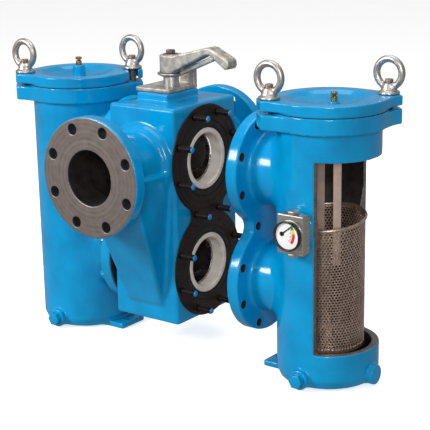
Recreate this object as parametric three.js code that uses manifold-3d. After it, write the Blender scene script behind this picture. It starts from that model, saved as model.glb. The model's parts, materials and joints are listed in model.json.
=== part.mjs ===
// Twin basket strainer with two T-ported changeover balls on one stem, shown with one housing drawn off.
// Millimetres, +Z up, the floor at z = 0. Lengths below are taken from the stem's axis; the plan is
// centred on the origin at the very end.
import * as THREE from 'three';
import { mergeVertices } from 'three/addons/utils/BufferGeometryUtils.js';
import Module from 'manifold-3d';

const wasm = await Module();
wasm.setup();

// ---- driving dimensions -------------------------------------------------------------------------
const gap = 0.3;                                   // running clearance between separate pieces

const port = { upper: 386, lower: 174, r: 52 };    // heights of the two balls, flange bore radius
const pipe = { r: 114.3, thick: 24, boltR: 95.25, holeR: 9.5, bolts: 8, front: -250, back: 172 };
const block = { x: 80, front: -98, back: 104, low: 68, high: 496, round: 9 };
const topPad = { x0: -50, x1: 26, y0: -48, y1: 54, high: 512 };
const bulge = { r: 74, front: -110 };
const neck = { front: 62, back: 70, housing: 70 };
const cavityR = 77;

const joint = { r: 107, fillet: 22, thick: 25, boltR: 93.6, holeR: 7.2, face: 83, gasket: 2 };
const seatPlate = { spigotR: cavityR - gap, inner: 60, holeR: 6.6 };
const seat = { r: 60.5, bore: 50, inner: 56 };
const stud = { r: 6, inner: 55, outer: 117 };
const coverStud = { r: 8, foot: 482, top: 560.5 };

const ball = { r: 74, bore: 46, flat: 70 };
const stem = { r: 15.5, top: 583 };
const disc = { r: 27, low: 541, high: 548.5 };

const housing = {
  r: 96, wall: 85.5, lowWall: 81, floor: 18, top: 511.5, flangeR: 106, flangeLow: 481,
  reach: 157, drawnOff: 361, ledge: 305, ledgeR: 68, ledgeSlope: 0.14,
};
const window_ = { x: 25.7, low: 72, high: 431 };
const lug = { studR: 110, root: 84, rootHalf: 48, end: 130, half: 22, holeR: 8.8, slot: 10 };
const eye = { collarR: 20, ringR: 25.5, tube: 6.5, ringZ: 38 };
const cover = { r: 106, low: 512, high: 533, dish: 518, dishR: 80, lugLow: 515 };
const boss = { left: { foot: 14, head: 12, top: 545, x: 0 }, right: { foot: 10.5, head: 9, top: 526.5, x: 10 } };
const basket = { r: 66.5, sheet: 1.5, low: 64, rimR: 68.2, rimTube: 3.8 };
const bail = { half: 8.5, thick: 2, low: 236, high: 492 };
const drain = { z: 22, bossR: 19, reach: 106, r: 9.5 };
const gauge = { z: 306, x: 27, high: 36, back: -106, front: -130, bossR: 24, dialR: 24, bezelR: 27.5 };
const lever = { half: 20, hubR: 22, rib: 6 };

// ---- worked-out places --------------------------------------------------------------------------
const middle = (port.upper + port.lower) / 2;
const leftFace = -(joint.face + joint.gasket + 2 * gap - 0.1);
const leftAxis = leftFace - housing.reach;
const rightAxis = housing.drawnOff;
const studStep = lug.studR * Math.SQRT1_2;
const jointHoles = figureEightHoles();

// ---- small helpers ------------------------------------------------------------------------------
function solidOf(geometry) {
  const bare = new THREE.BufferGeometry();
  bare.setAttribute('position', geometry.getAttribute('position').clone());
  if (geometry.index) bare.setIndex(geometry.index.clone());
  const merged = mergeVertices(bare, 1e-4);
  const index = merged.index.array;
  const kept = [];
  for (let i = 0; i < index.length; i += 3) {
    const [a, b, c] = [index[i], index[i + 1], index[i + 2]];
    if (a !== b && b !== c && c !== a) kept.push(a, b, c);
  }
  const vertProperties = Float32Array.from(merged.getAttribute('position').array);
  const triVerts = Uint32Array.from(kept);
  return new wasm.Manifold(new wasm.Mesh({ numProp: 3, vertProperties, triVerts }));
}

function geometryOf(solid) {
  const mesh = solid.getMesh();
  const geometry = new THREE.BufferGeometry();
  geometry.setAttribute('position', new THREE.BufferAttribute(Float32Array.from(mesh.vertProperties), 3));
  geometry.setIndex(Array.from(mesh.triVerts));
  geometry.computeVertexNormals();
  return geometry;
}

function box(x0, x1, y0, y1, z0, z1) {
  const geometry = new THREE.BoxGeometry(x1 - x0, y1 - y0, z1 - z0);
  geometry.translate((x0 + x1) / 2, (y0 + y1) / 2, (z0 + z1) / 2);
  return solidOf(geometry);
}

// A cone or cylinder along an axis, from a to b; (u, v) is its centre in the other two directions.
function taper(axis, ra, rb, a, b, u, v, sides = 24) {
  const geometry = new THREE.CylinderGeometry(rb, ra, b - a, sides);
  geometry.translate(0, (a + b) / 2, 0);
  if (axis === 'x') geometry.rotateZ(-Math.PI / 2).translate(0, u, v);
  if (axis === 'y') geometry.translate(u, 0, v);
  if (axis === 'z') geometry.rotateX(Math.PI / 2).translate(u, v, 0);
  return solidOf(geometry);
}

function rod(axis, r, a, b, u, v, sides = 24) {
  return taper(axis, r, r, a, b, u, v, sides);
}

// A hole: its flats touch the stated radius, so a rod of that radius passes.
function bore(axis, r, a, b, u, v, sides = 24) {
  return rod(axis, r / Math.cos(Math.PI / sides), a, b, u, v, sides);
}

// A closed or axis-to-axis profile of [radius, height] pairs, turned about Z.
function turned(profile, sides) {
  const points = profile.map(([r, z]) => new THREE.Vector2(r, z));
  const geometry = new THREE.LatheGeometry(points, sides);
  geometry.rotateX(Math.PI / 2);
  return solidOf(geometry);
}

// The same profile turned about X, with the heights running along X.
function turnedAlongX(profile, sides) {
  return turned(profile, sides).rotate([0, 90, 0]);
}

function arc(cx, cy, r, from, to, steps) {
  const points = [];
  for (let i = 0; i <= steps; i++) {
    const angle = THREE.MathUtils.degToRad(from + ((to - from) * i) / steps);
    points.push(new THREE.Vector2(cx + r * Math.cos(angle), cy + r * Math.sin(angle)));
  }
  return points;
}

function prism(points, low, high) {
  const shape = new THREE.Shape(points);
  const geometry = new THREE.ExtrudeGeometry(shape, { depth: high - low, bevelEnabled: false });
  geometry.translate(0, 0, low);
  return solidOf(geometry);
}

// An outline drawn in (y, z), stretched along X.
function prismAlongX(points, x0, x1) {
  return prism(points, x0, x1).rotate([90, 0, 90]);
}

// A solid with six four-cornered sides: four bottom corners, then the four above them.
function sixSided(corners) {
  const geometry = new THREE.BufferGeometry();
  geometry.setAttribute('position', new THREE.Float32BufferAttribute(corners.flat(), 3));
  geometry.setIndex([
    0, 2, 1, 0, 3, 2, 4, 5, 6, 4, 6, 7, 0, 1, 5, 0, 5, 4,
    1, 2, 6, 1, 6, 5, 2, 3, 7, 2, 7, 6, 3, 0, 4, 3, 4, 7,
  ]);
  return solidOf(geometry);
}

function union(solids) {
  return solids.reduce((whole, next) => whole.add(next));
}

function cut(solid, tools) {
  return solid.subtract(union(tools));
}

// ---- shapes used more than once -----------------------------------------------------------------
function figureEight(r, fillet, x0, x1) {
  const steps = 14;
  const half = (port.upper - port.lower) / 2;
  const side = Math.sqrt((r + fillet) ** 2 - half ** 2);
  const lean = THREE.MathUtils.radToDeg(Math.atan2(half, side));
  const outline = [
    ...arc(0, port.upper, r, -lean, 180 + lean, steps),
    ...arc(-side, middle, fillet, lean, -lean, 4).slice(1),
    ...arc(0, port.lower, r, 180 - lean, 360 + lean, steps).slice(1),
    ...arc(side, middle, fillet, 180 + lean, 180 - lean, 4).slice(1, -1),
  ];
  return prismAlongX(outline, x0, x1);
}

// Six holes round each port and one shared pair at the waist, as [y, z].
function figureEightHoles() {
  const places = [];
  for (let i = 0; i < 8; i++) {
    const angle = THREE.MathUtils.degToRad(22.5 + 45 * i);
    const y = joint.boltR * Math.cos(angle);
    const z = joint.boltR * Math.sin(angle);
    if (z > -0.9 * joint.boltR) places.push([y, port.upper + z]);
    if (z < 0.9 * joint.boltR) places.push([y, port.lower + z]);
  }
  const waist = joint.boltR * Math.cos(THREE.MathUtils.degToRad(67.5));
  places.push([waist, (port.upper + port.lower) / 2], [-waist, (port.upper + port.lower) / 2]);
  return places;
}

function pipeFlange(low, high) {
  return rod('y', pipe.r, low, high, 0, port.upper, 32);
}

function pipeHoles(low, high) {
  const holes = [];
  for (let i = 0; i < pipe.bolts; i++) {
    const angle = (2 * Math.PI * (i + 0.5)) / pipe.bolts;
    const x = pipe.boltR * Math.cos(angle);
    const z = port.upper + pipe.boltR * Math.sin(angle);
    holes.push(bore('y', pipe.holeR, low - 1, high + 1, x, z, 8));
  }
  return holes;
}

function roundedBox(x, y0, y1, z0, z1, round) {
  const outline = [
    ...arc(x - round, y0 + round, round, -90, 0, 3),
    ...arc(x - round, y1 - round, round, 0, 90, 3),
    ...arc(-x + round, y1 - round, round, 90, 180, 3),
    ...arc(-x + round, y0 + round, round, 180, 270, 3),
  ];
  const bevel = round * 0.6;
  const settings = {
    depth: z1 - z0 - 2 * bevel, bevelEnabled: true, bevelThickness: bevel, bevelSize: bevel,
    bevelOffset: -bevel, bevelSegments: 2,
  };
  const geometry = new THREE.ExtrudeGeometry(new THREE.Shape(outline), settings);
  geometry.translate(0, 0, z0 + bevel);
  return solidOf(geometry);
}

// A flat ear that runs out from a round flange along the 45 degree line, with a blunt end.
function ear(z0, z1) {
  const corner = 4;
  const outline = [
    new THREE.Vector2(lug.root, -lug.rootHalf),
    ...arc(lug.end - corner, corner - lug.half, corner, -60, 0, 2),
    ...arc(lug.end - corner, lug.half - corner, corner, 0, 60, 2),
    new THREE.Vector2(lug.root, lug.rootHalf),
  ];
  return prism(outline, z0, z1).rotate([0, 0, 45]);
}

// ---- changeover valve ---------------------------------------------------------------------------
function valveBody() {
  const shell = union([
    roundedBox(block.x, block.front, block.back, block.low, block.high, block.round),
    box(topPad.x0, topPad.x1, topPad.y0, topPad.y1, block.high - 5, topPad.high),
    rod('y', bulge.r, bulge.front, block.front + 5, 0, port.upper, 32),
    rod('y', neck.front, pipe.front + pipe.thick - 1, bulge.front + 1, 0, port.upper, 32),
    pipeFlange(pipe.front, pipe.front + pipe.thick),
    outletDuct(44, 70, 104, 375, 0),
    rod('y', neck.back, block.back - 5, pipe.back - pipe.thick + 1, 0, port.upper, 32),
    pipeFlange(pipe.back - pipe.thick, pipe.back),
  ]);
  const stemLine = [
    bore('z', stem.r + gap, port.upper, topPad.high + 1, 0, 0),
    bore('z', stem.r, port.lower, port.upper, 0, 0),
    bore('z', 20, block.low - 1, port.lower, 0, 0),
  ];
  const cavities = [port.upper, port.lower].map((z) => (
    bore('x', cavityR, -block.x - 1, block.x + 1, 0, z, 24)
  ));
  const studHoles = jointHoles.map(([y, z]) => bore('x', stud.r + gap, stud.inner - 2, block.x + 1, y, z, 8));
  return cut(shell, [
    ...cavities,
    ...stemLine,
    ...studHoles,
    ...pipeHoles(pipe.front, pipe.front + pipe.thick),
    ...pipeHoles(pipe.back - pipe.thick, pipe.back),
    bore('y', port.r, pipe.front - 1, -100, 0, port.upper, 32),
    bore('y', port.r, 0, pipe.back + 1, 0, port.upper, 32),
    bore('y', 40, -112, 0, 0, port.lower),
    outletDuct(34, 47, 134, port.upper, 13),
  ]);
}

// The sloping duct that takes the lower port up to the front flange; inset is its wall thickness.
function outletDuct(lowHalf, highHalf, low, high, inset) {
  const slope = (z) => block.front - 7 - 0.41 * (z - 112) + inset;
  const inner = -90;
  return sixSided([
    [-lowHalf, slope(low), low], [lowHalf, slope(low), low], [lowHalf, inner, low], [-lowHalf, inner, low],
    [-highHalf, slope(high), high], [highHalf, slope(high), high],
    [highHalf, inner, high], [-highHalf, inner, high],
  ]);
}

// side is +1 for the face towards the drawn-off housing and -1 for the other face.
function seatPlateOn(side) {
  const plate = figureEight(joint.r, joint.fillet, block.x + gap, joint.face);
  const spigots = [port.upper, port.lower].map((z) => (
    rod('x', seatPlate.spigotR, seatPlate.inner, block.x + gap + 1, 0, z, 24)
  ));
  const bores = [port.upper, port.lower].map((z) => (
    bore('x', seat.r + gap, seatPlate.inner - 1, joint.face + 1, 0, z, 24)
  ));
  const holes = jointHoles.map(([y, z]) => bore('x', seatPlate.holeR, block.x, joint.face + 1, y, z, 8));
  const solid = cut(union([plate, ...spigots]), bores);
  return side > 0 ? cut(solid, holes) : solid.mirror([1, 0, 0]);
}

function seatRing(side, z) {
  const face = joint.face;
  const profile = [
    [seat.bore, seat.inner], [seat.r, seat.inner], [seat.r, face - 1.5], [seat.r - 1.5, face],
    [seat.bore + 4, face], [seat.bore, face - 4], [seat.bore, seat.inner],
  ];
  const solid = turnedAlongX(profile, 24).translate([0, 0, z]);
  return side > 0 ? solid : solid.mirror([1, 0, 0]);
}

function stretchStud([y, z]) {
  const profile = [
    [0, stud.inner], [stud.r, stud.inner], [stud.r, stud.outer - 2], [stud.r - 2, stud.outer], [0, stud.outer],
  ];
  return turnedAlongX(profile, 10).translate([0, y, z]);
}

function portedBall(z) {
  const sphere = solidOf(new THREE.SphereGeometry(ball.r, 22, 13).rotateX(Math.PI / 2));
  const slab = box(-90, 90, -90, 90, -ball.flat, ball.flat);
  const bores = [bore('y', ball.bore, -90, 90, 0, 0, 20), bore('x', ball.bore, 0, 90, 0, 0, 20)];
  return cut(sphere.intersect(slab), bores).translate([0, 0, z]);
}

function lowerBall() {
  const trunnion = rod('z', 12, port.lower - ball.flat - 16, port.lower - ball.flat + 2, 0, 0, 20);
  return portedBall(port.lower).add(trunnion);
}

function ballLink() {
  return rod('z', stem.r - gap, port.lower + ball.flat + gap, port.upper - ball.flat - gap, 0, 0, 20);
}

function valveStem() {
  const foot = port.upper + ball.flat + gap;
  return turned([
    [0, foot], [stem.r, foot], [stem.r, disc.low - gap], [12, disc.low - gap], [12, stem.top - 12],
    [10, stem.top - 12], [10, stem.top - 1], [0, stem.top - 1],
  ], 24);
}

function bottomPlug() {
  const profile = [
    [0, 56], [22, 56], [24, 58], [24, block.low - gap], [20 - gap, block.low - gap], [20 - gap, 95],
    [12 + gap, 95], [12 + gap, 84], [0, 84],
  ];
  return turned(profile, 24);
}

function stopBracket() {
  const low = topPad.high + gap;
  const plate = box(-62, 22, -37, 55, low, low + 8);
  const upright = box(-14, 22, 44, 55, low, 571);
  return cut(plate.add(upright), [bore('z', stem.r + gap, low - 1, low + 9, 0, 0)]);
}

function indicatorDisc() {
  const profile = [
    [12 + gap, disc.low], [20, disc.low], [disc.r, disc.low + 3], [disc.r, disc.high], [12 + gap, disc.high],
    [12 + gap, disc.low],
  ];
  return turned(profile, 28);
}

function handLever() {
  const low = disc.high + gap;
  const side = [
    [0, low], [20, low + 4], [97, 590], [104, 590], [139, 565], [146, 566], [149, 572], [148, 581],
    [144, 585], [106, 603], [97, 604], [26, 586], [17, 583], [0, 583],
  ].map(([x, z]) => new THREE.Vector2(x, z));
  const ribSide = [
    [16, low + 1], [22, low - 6], [104, 579], [112, 584], [100, 594], [20, 560],
  ].map(([x, z]) => new THREE.Vector2(x, z));
  const arm = prism(side, -lever.half, lever.half).rotate([90, 0, 0]);
  const rib = prism(ribSide, -lever.rib, lever.rib).rotate([90, 0, 0]).intersect(box(27, 200, -9, 9, 0, 900));
  const hub = rod('z', lever.hubR, low, stem.top, 0, 0, 28);
  const bores = [
    bore('z', 12 + gap, low - 1, stem.top - 11.5, 0, 0),
    bore('z', 10 + gap, low, stem.top + 9, 0, 0),
  ];
  return cut(union([arm, rib, hub]), bores);
}

function leverScrew() {
  const low = stem.top + gap;
  return turned([[0, low], [15, low], [15, low + 1.5], [10, low + 1.5], [10, low + 9], [0, low + 9]], 20);
}

// ---- housings -----------------------------------------------------------------------------------
// The ledge slopes up to the back, and the basket's rim with it. The slope comes in between two heights
// and goes out again towards the top of the housing.
function tilt(point, backSide, from, full) {
  const [, y, z] = point;
  const comingIn = THREE.MathUtils.clamp((z - from) / (full - from), 0, 1);
  const goingOut = THREE.MathUtils.clamp((450 - z) / 60, 0, 1);
  point[2] += backSide * housing.ledgeSlope * y * Math.min(comingIn, goingOut);
}

// The casting as it stands with its joint flange towards -X, on its own axis. The drain is drilled on
// the side (+1 or -1 along Y) that faces front once the housing is turned into its place.
function housingCasting(drainSide) {
  const face = -housing.reach;
  const outside = turned([
    [0, 0], [76, 0], [90, 6], [housing.r, 20], [housing.r, housing.flangeLow - 2],
    [housing.flangeR, housing.flangeLow], [housing.flangeR, housing.top], [0, housing.top],
  ], 32);
  const necks = [port.upper, port.lower].map((z) => rod('x', neck.housing, face + 10, 0, 0, z, 24));
  const ears = union([ear(housing.flangeLow, 509), ear(housing.flangeLow, 509).rotate([0, 0, 180])]);
  const bosses = [
    rod('y', drain.bossR, -drain.reach, drain.reach, 0, drain.z, 14),
    rod('x', drain.bossR, 0, drain.reach, 0, drain.z, 14),
    rod('y', gauge.bossR, gauge.back + gap, 0, 0, gauge.z, 20),
  ];
  const foot = box(-124, -60, -36, 36, 0, 12);
  const flange = figureEight(joint.r, joint.fillet, face, face + joint.thick);
  const body = union([outside, ...necks, ears, ...bosses, foot, flange]);
  const inside = turned([
    [0, housing.floor], [70, housing.floor], [housing.lowWall, 29], [housing.lowWall, 90], [housing.wall, 96],
    [housing.wall, 282], [housing.ledgeR, 299], [housing.ledgeR, housing.ledge],
    [74, housing.ledge], [housing.wall, 342], [housing.wall, housing.top + 1], [0, housing.top + 1],
  ], 28).warp((point) => tilt(point, -drainSide, 120, 282));
  const groove = turned([
    [90, housing.top - 5], [97, housing.top - 5], [97, housing.top + 1], [90, housing.top + 1],
    [90, housing.top - 5],
  ], 28);
  return cut(body, [
    inside,
    groove,
    ...[port.upper, port.lower].map((z) => bore('x', port.r - 1, face - 1, 0, 0, z, 20)),
    ...jointHoles.map(([y, z]) => bore('x', joint.holeR, face - 1, face + joint.thick + 1, y, z, 8)),
    ...[1, -1].map((s) => bore('z', coverStud.r + gap, 470, 520, s * studStep, s * studStep, 10)),
    drainHole(drainSide),
    bore('z', 6.5, -1, 13, -110, 0, 12),
  ]);
}

function drainHole(side) {
  const [near, far] = [60, drain.reach + 1];
  return bore('y', drain.r + gap, side > 0 ? near : -far, side > 0 ? far : -near, 0, drain.z, 12);
}

function drawnOffHousing(casting) {
  const opening = box(window_.x, 200, -200, 200, window_.low, window_.high);
  return casting.subtract(opening).translate([rightAxis, 0, 0]);
}

function jointGasket() {
  const [low, high] = [-joint.face - gap - joint.gasket, -joint.face - gap];
  const sheet = figureEight(84.5, 40, low, high);
  return cut(sheet, [port.upper, port.lower].map((z) => bore('x', 56, low - 1, high + 1, 0, z, 20)));
}

function coverSeal() {
  const z = housing.top - 5 + gap;
  return turned([[90.4, z], [96.6, z], [96.6, cover.low - gap], [90.4, cover.low - gap], [90.4, z]], 28);
}

// The cover on its own axis: a pivot ear at 45 degrees and a slotted one opposite.
function coverCasting(vent) {
  const profile = [
    [0, cover.low], [cover.r, cover.low], [cover.r, cover.high - 2], [cover.r - 2, cover.high],
    [cover.dishR, cover.high], [cover.dishR - 12, cover.dish + 8], [cover.dishR - 30, cover.dish + 3],
    [cover.dishR - 52, cover.dish + 0.5], [0, cover.dish],
  ];
  const parts = [turned(profile, 32), ear(cover.lugLow, cover.high), ear(cover.lugLow, cover.high).rotate([0, 0, 180])];
  parts.push(taper('z', vent.foot, vent.head, cover.dish - 3, vent.top, vent.x, 0, 20));
  const slot = box(-lug.slot, lug.slot, -60, 0, cover.low - 1, cover.high + 1)
    .add(rod('z', lug.slot, cover.low - 1, cover.high + 1, 0, 0, 16))
    .rotate([0, 0, -135])
    .translate([-studStep, -studStep, 0]);
  return cut(union(parts), [
    bore('z', lug.holeR, cover.low - 1, cover.high + 1, studStep, studStep, 16),
    slot,
    bore('z', 5, cover.low + 3, vent.top + 20, vent.x, 0, 12),
  ]);
}

function ventScrew(x, seatZ) {
  return turned([
    [0, cover.low + 4], [5 - gap, cover.low + 4], [5 - gap, seatZ + gap], [6, seatZ + gap], [6, seatZ + 9],
    [3.5, seatZ + 9], [3.5, seatZ + 11], [6.5, seatZ + 11], [6.5, seatZ + 16], [0, seatZ + 16],
  ], 16).translate([x, 0, 0]);
}

function coverStudAt(x, y) {
  const { r, foot, top } = coverStud;
  return turned([[0, foot], [r, foot], [r, top - 1.5], [r - 1.5, top], [0, top]], 16).translate([x, y, 0]);
}

function eyeNut(x, y, turn) {
  const low = cover.high + gap;
  const collar = turned([[0, 0], [eye.collarR, 0], [eye.collarR, 4], [15, 8], [13.5, 14], [8, 20], [0, 20]], 14);
  const torus = new THREE.TorusGeometry(eye.ringR, eye.tube, 8, 20).rotateX(Math.PI / 2);
  const ring = solidOf(torus).translate([0, 0, eye.ringZ]);
  return cut(collar.add(ring), [bore('z', coverStud.r + gap, -1, 29, 0, 0, 12)])
    .rotate([0, 0, turn])
    .translate([x, y, low]);
}

function drainPlug(x) {
  const face = -drain.reach - gap;
  const head = rod('y', 14, face - 10, face, x, drain.z, 6);
  const thread = rod('y', drain.r, face - 1, -64, x, drain.z, 16);
  return head.add(thread);
}

function basketShell(x) {
  const inner = basket.r - basket.sheet;
  const rimZ = housing.ledge + gap + basket.rimTube;
  const rim = [];
  for (let i = 0; i <= 5; i++) {
    const angle = THREE.MathUtils.degToRad(-115 + 46 * i);
    rim.push([basket.rimR + basket.rimTube * Math.cos(angle), rimZ + basket.rimTube * Math.sin(angle)]);
  }
  const profile = [
    [0, basket.low], [basket.r - 2, basket.low], [basket.r, basket.low + 2],
    [basket.r, rimZ - basket.rimTube - 1], ...rim, [inner, rimZ + 1], [inner, basket.low + 3],
    [0, basket.low + 3],
  ];
  return turned(profile, 28)
    .warp((point) => tilt(point, 1, basket.low + 5, 282))
    .translate([x, 0, 0]);
}

function bailStrap(x) {
  const r = basket.r - basket.sheet - 1.5;
  const outer = [
    new THREE.Vector2(-r, bail.low), new THREE.Vector2(-r + bail.thick, bail.low),
    ...arc(-r + 16, bail.high - 14, 14, 180, 90, 4),
    ...arc(r - 16, bail.high - 14, 14, 90, 0, 4),
    new THREE.Vector2(r - bail.thick, bail.low), new THREE.Vector2(r, bail.low),
    ...arc(r - 16, bail.high - 14, 16, 0, 90, 4),
    ...arc(-r + 16, bail.high - 14, 16, 90, 180, 4),
  ];
  return prism(outer, -bail.half, bail.half).rotate([90, 0, 0]).rotate([0, 0, -45]).translate([x, 0, 0]);
}

// ---- clogging gauge -----------------------------------------------------------------------------
function gaugeBlock() {
  const body = box(-gauge.x, gauge.x, gauge.front, gauge.back, gauge.z - gauge.high, gauge.z + gauge.high);
  const boss = rod('y', gauge.bezelR - 1.5, gauge.front - 4, gauge.front + 1, 0, gauge.z, 32);
  const sockets = bore('z', 6, gauge.z - 60, gauge.z - gauge.high + 8, 0, -118, 12)
    .add(bore('z', 6, gauge.z + gauge.high - 8, gauge.z + 60, 0, -118, 12));
  return cut(body.add(boss), [sockets]).translate([rightAxis, 0, 0]);
}

// direction is +1 for the plug on top and -1 for the one below.
function gaugePlug(direction) {
  const head = rod('z', 12, gap, 6, 0, 0, 6);
  const thread = rod('z', 6 - gap, -7, 1, 0, 0, 12);
  const plug = head.add(thread);
  const turnedOver = direction > 0 ? plug : plug.rotate([180, 0, 0]);
  return turnedOver.translate([rightAxis, -118, gauge.z + direction * gauge.high]);
}

// Turned parts of the gauge: their profile heights run towards the reader, along -Y.
function towardsReader(solid, x, z) {
  return solid.rotate([90, 0, 0]).translate([rightAxis + x, 0, gauge.z + z]);
}

function gaugeBezel() {
  const low = -gauge.front + 4 + gap;
  const profile = [
    [0, low], [gauge.bezelR, low], [gauge.bezelR, low + 7.5], [gauge.bezelR - 1.5, low + 9],
    [gauge.dialR + 0.6, low + 9], [gauge.dialR + 0.6, low + 3], [0, low + 3],
  ];
  return towardsReader(turned(profile, 36), 0, 0);
}

function gaugeDial() {
  const low = -gauge.front + 7 + 2 * gap;
  return towardsReader(rod('z', gauge.dialR, low, low + 1.2, 0, 0, 36), 0, 0);
}

function gaugePointer() {
  const low = -gauge.front + 9;
  const outline = [
    ...arc(0, 0, 4.2, 20, 340, 10),
    new THREE.Vector2(24, -0.5),
    new THREE.Vector2(24, 0.5),
  ];
  return towardsReader(prism(outline, low, low + 1.2).rotate([0, 0, 38]), -11, 3);
}

// ---- the assembly -------------------------------------------------------------------------------
const finishes = {
  paint: { color: 0x1a9fdc, roughness: 0.3, metalness: 0.0 },
  machined: { color: 0x3a322f, roughness: 0.55, metalness: 0.6 },
  steel: { color: 0xb9b7b4, roughness: 0.3, metalness: 0.9 },
  cast: { color: 0xb5b1aa, roughness: 0.6, metalness: 0.5 },
  dark: { color: 0x2a2c30, roughness: 0.5, metalness: 0.7 },
  seat: { color: 0xeeeeec, roughness: 0.45, metalness: 0.0 },
  rubber: { color: 0x1b1b1c, roughness: 0.8, metalness: 0.0 },
  brass: { color: 0xc39a55, roughness: 0.35, metalness: 0.9 },
  alloy: { color: 0xc7c5c2, roughness: 0.45, metalness: 0.8 },
  dial: { color: 0xf4f4f2, roughness: 0.4, metalness: 0.0 },
};

const group = new THREE.Group();

function place(name, solid, finish) {
  const geometry = geometryOf(solid);
  geometry.translate(-(leftAxis + rightAxis) / 2, -(pipe.front + pipe.back) / 2, 0);
  const mesh = new THREE.Mesh(geometry, new THREE.MeshStandardMaterial(finishes[finish]));
  mesh.name = name;
  group.add(mesh);
}

place('valve_body', valveBody(), 'paint');
for (const [side, word] of [[1, 'right'], [-1, 'left']]) {
  place(`${word}_seat_plate`, seatPlateOn(side), 'machined');
  place(`${word}_upper_seat`, seatRing(side, port.upper), 'seat');
  place(`${word}_lower_seat`, seatRing(side, port.lower), 'seat');
}
jointHoles.forEach((spot, i) => place(`joint_stud_${i + 1}`, stretchStud(spot), 'dark'));
place('bottom_plug', bottomPlug(), 'machined');
place('upper_ball', portedBall(port.upper), 'steel');
place('lower_ball', lowerBall(), 'steel');
place('ball_link', ballLink(), 'steel');
place('valve_stem', valveStem(), 'steel');
place('stop_bracket', stopBracket(), 'cast');
place('indicator_disc', indicatorDisc(), 'steel');
place('hand_lever', handLever(), 'cast');
place('lever_screw', leverScrew(), 'steel');

place('left_housing', housingCasting(1).rotate([0, 0, 180]).translate([leftAxis, 0, 0]), 'paint');
place('right_housing', drawnOffHousing(housingCasting(-1)), 'paint');
place('left_joint_gasket', jointGasket(), 'rubber');

for (const [word, axis, turn] of [['left', leftAxis, 180], ['right', rightAxis, 0]]) {
  const vent = boss[word];
  place(`${word}_cover`, coverCasting(vent).rotate([0, 0, turn]).translate([axis, 0, 0]), 'paint');
  place(`${word}_vent_screw`, ventScrew(axis + vent.x, vent.top), 'brass');
  place(`${word}_cover_seal`, coverSeal().translate([axis, 0, 0]), 'rubber');
  place(`${word}_front_stud`, coverStudAt(axis - studStep, -studStep), 'dark');
  place(`${word}_back_stud`, coverStudAt(axis + studStep, studStep), 'dark');
  place(`${word}_front_eye_nut`, eyeNut(axis - studStep, -studStep, 0), 'steel');
  place(`${word}_back_eye_nut`, eyeNut(axis + studStep, studStep, 0), 'steel');
  place(`${word}_basket`, basketShell(axis), 'steel');
  place(`${word}_basket_bail`, bailStrap(axis), 'steel');
  place(`${word}_drain_plug`, drainPlug(axis), 'dark');
}

place('gauge_block', gaugeBlock(), 'alloy');
place('gauge_top_plug', gaugePlug(1), 'alloy');
place('gauge_bottom_plug', gaugePlug(-1), 'alloy');
place('gauge_bezel', gaugeBezel(), 'rubber');
place('gauge_dial', gaugeDial(), 'dial');
place('gauge_pointer', gaugePointer(), 'rubber');

export default group;
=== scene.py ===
"""Looks for a twin basket strainer shown with one housing drawn off and cut open.

Castings are built as distance fields, so that their webs and corners are filleted as cast metal is,
and are meshed with OpenVDB. Turned parts are spun from their profiles. Everything is in millimetres
until a mesh is made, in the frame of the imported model.
"""
import json
from math import cos, pi, radians, sin, sqrt, tan
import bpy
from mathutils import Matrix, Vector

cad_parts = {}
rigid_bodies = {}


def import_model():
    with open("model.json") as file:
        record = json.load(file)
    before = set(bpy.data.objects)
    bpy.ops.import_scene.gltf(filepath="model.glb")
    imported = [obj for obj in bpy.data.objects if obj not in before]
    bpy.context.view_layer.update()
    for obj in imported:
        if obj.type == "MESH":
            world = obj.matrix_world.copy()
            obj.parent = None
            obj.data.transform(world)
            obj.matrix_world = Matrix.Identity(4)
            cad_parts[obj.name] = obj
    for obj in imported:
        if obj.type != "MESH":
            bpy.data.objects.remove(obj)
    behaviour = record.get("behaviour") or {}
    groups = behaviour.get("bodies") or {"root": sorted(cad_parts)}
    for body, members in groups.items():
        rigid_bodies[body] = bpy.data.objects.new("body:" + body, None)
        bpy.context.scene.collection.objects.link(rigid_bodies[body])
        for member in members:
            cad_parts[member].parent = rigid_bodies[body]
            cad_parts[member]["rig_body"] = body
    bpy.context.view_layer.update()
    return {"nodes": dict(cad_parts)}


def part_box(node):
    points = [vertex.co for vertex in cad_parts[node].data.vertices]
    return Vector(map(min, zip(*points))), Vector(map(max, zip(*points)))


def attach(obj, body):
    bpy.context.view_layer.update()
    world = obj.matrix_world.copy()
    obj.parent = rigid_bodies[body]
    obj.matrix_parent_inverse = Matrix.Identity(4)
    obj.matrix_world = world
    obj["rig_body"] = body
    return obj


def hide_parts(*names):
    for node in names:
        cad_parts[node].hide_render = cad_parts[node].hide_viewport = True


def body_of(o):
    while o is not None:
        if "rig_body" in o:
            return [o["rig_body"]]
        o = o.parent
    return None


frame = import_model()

from types import SimpleNamespace as Sizes

import bmesh
import bpy
import numpy as np
import openvdb
from mathutils import Matrix, Vector

MM = 0.001


def centre(node):
    low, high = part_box(node)
    return (low + high) / (2 * MM)


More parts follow.
